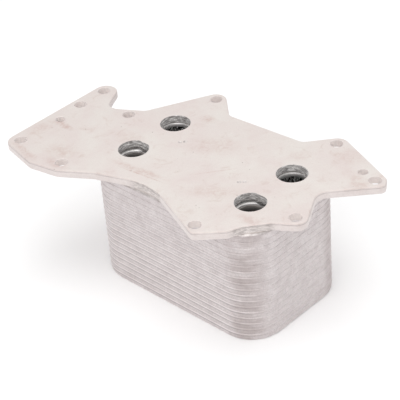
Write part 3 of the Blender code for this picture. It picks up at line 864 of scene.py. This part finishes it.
row = add(tree, "ShaderNodeMath", {0: part["Y"], 1: size["Strip"]}, operation="DIVIDE")
row = add(tree, "ShaderNodeMath", {0: row}, operation="ROUND")
step = add(tree, "ShaderNodeMath", {0: row, 1: 2.0, 2: step}, operation="MULTIPLY_ADD")
step = add(tree, "ShaderNodeMath", {0: step}, operation="ROUND")
turn = add(tree, "ShaderNodeMath", {0: step, 1: 4.0}, operation="FLOORED_MODULO")
crest = add(tree, "FunctionNodeCompare", {0: turn, 1: 1.5}, operation="GREATER_THAN")
rise = add(tree, "ShaderNodeMapRange", {"Value": crest, "To Min": -1.0, "To Max": 1.0})
rise = add(tree, "ShaderNodeMath", {0: rise, 1: size["Crest"]}, operation="MULTIPLY")
folded = add(tree, "GeometryNodeSetPosition", {"Geometry": lines,
             "Offset": add(tree, "ShaderNodeCombineXYZ", {"Z": rise})})
punched = add(tree, "GeometryNodeDeleteGeometry", {"Geometry": folded, "Selection": gone},
              domain="POINT", mode="ALL")
strips = add(tree, "GeometryNodeMeshToCurve", {"Mesh": punched})
strips = add(tree, "GeometryNodeSetCurveNormal", {"Curve": strips}, mode="Z_UP")
sheet = add(tree, "GeometryNodeCurveToMesh", {"Curve": strips,
            "Profile Curve": size["Strip section"], "Fill Caps": True})
end_tree(tree, sheet, size, size["Middle"])

FIN_MARGIN = 4.0 * MM           # kept between the fin sheet and the rim
for number in range(1, PAN_COUNT + 1):
    pan_low, pan_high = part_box(f"core_pan_{number:02d}")
    fin_low, fin_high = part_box(f"turbulator_{number:02d}")
    points = 2 * int((pan_high.x - FIN_MARGIN) / (FOLD_STEP * MM)) + 1
    rows = 2 * int((pan_high.y - FIN_MARGIN - STRIP * MM / 2) / (STRIP * MM)) + 1
    fins = grown(f"turbulator_lanced_{number:02d}", tree, strip_section,
                 length=(points - 1) * FOLD_STEP * MM, width=(rows - 1) * STRIP * MM,
                 fold_step=FOLD_STEP * MM, strip=STRIP * MM,
                 crest=(fin_high.z - fin_low.z - FIN_SHEET * MM) / 2 + FIN_BITE * MM,
                 port_x=port_x, port_y=port_y,
                 collar_row=-1.0 if number % 2 else 1.0, open_clearance=OPEN_CLEARANCE * MM,
                 collar_clearance=COLLAR_CLEARANCE * MM, corner_x=pan_high.x - CORE_CORNER_R,
                 corner_y=pan_high.y - CORE_CORNER_R, corner_radius=CORE_CORNER_R - FIN_MARGIN,
                 middle=(fin_low.z + fin_high.z) / 2, points_along=points, strips=rows,
                 finish=fin_finish)
    ride_as(fins, 30, "fin_sheet", f"turbulator_{number:02d}")


# Floor, lights and camera
# A white paper sweep under a large overhead softbox, with a second soft light in front.

paper = bpy.data.materials.new("white_paper_sweep")
paper.use_nodes = True
connect(paper.node_tree, paper.node_tree.nodes["Principled BSDF"],
        {"Base Color": "#FAFAFA", "Roughness": 0.9})
FLOOR_GAP = 0.2 * MM            # keeps the paper clear of the last pan
work = bmesh.new()
bmesh.ops.create_grid(work, x_segments=1, y_segments=1, size=4.0)
bmesh.ops.translate(work, verts=work.verts, vec=(0.0, 0.0, cad_low.z - FLOOR_GAP))
floor = piece_from(work, "floor", paper)
bpy.context.scene.collection.objects.link(floor)

world = bpy.data.worlds.new("studio")
world.use_nodes = True
connect(world.node_tree, world.node_tree.nodes["Background"],
        {"Color": "#FFFFFF", "Strength": 0.75})
bpy.context.scene.world = world


def soft_light(name, place, size, power):
    """Square softbox that faces the cooler."""
    light = bpy.data.lights.new(name, "AREA")
    light.size = size
    light.energy = power
    lamp = bpy.data.objects.new(name, light)
    bpy.context.scene.collection.objects.link(lamp)
    lamp.location = place
    lamp.rotation_euler = (-Vector(place)).to_track_quat("-Z", "Y").to_euler()


soft_light("overhead_softbox", (0.0, 0.1, 1.3), 1.2, 7.0)
soft_light("front_softbox", (0.55, -1.0, 0.75), 1.3, 7.0)

CAMERA_AZIMUTH = 45.6
CAMERA_ELEVATION = 34.16
CAMERA_ROLL = -4.73
CAMERA_DISTANCE = 0.840
camera_data = bpy.data.cameras.new("camera")
camera_data.lens = 125.04
camera_data.sensor_width = 36.0
camera_data.shift_x = -0.0012
camera_data.shift_y = -0.0017
camera = bpy.data.objects.new("camera", camera_data)
bpy.context.scene.collection.objects.link(camera)
turned = (Matrix.Rotation(math.radians(CAMERA_AZIMUTH), 4, "Z")
          @ Matrix.Rotation(math.radians(90 - CAMERA_ELEVATION), 4, "X")
          @ Matrix.Rotation(math.radians(CAMERA_ROLL), 4, "Z"))
aim = Vector((0.0240, -0.0357, 0.0))
camera.matrix_world = (Matrix.Translation(aim) @ turned
                       @ Matrix.Translation((0.0, 0.0, CAMERA_DISTANCE)))
bpy.context.scene.camera = camera
bpy.context.scene.view_settings.view_transform = "Standard"
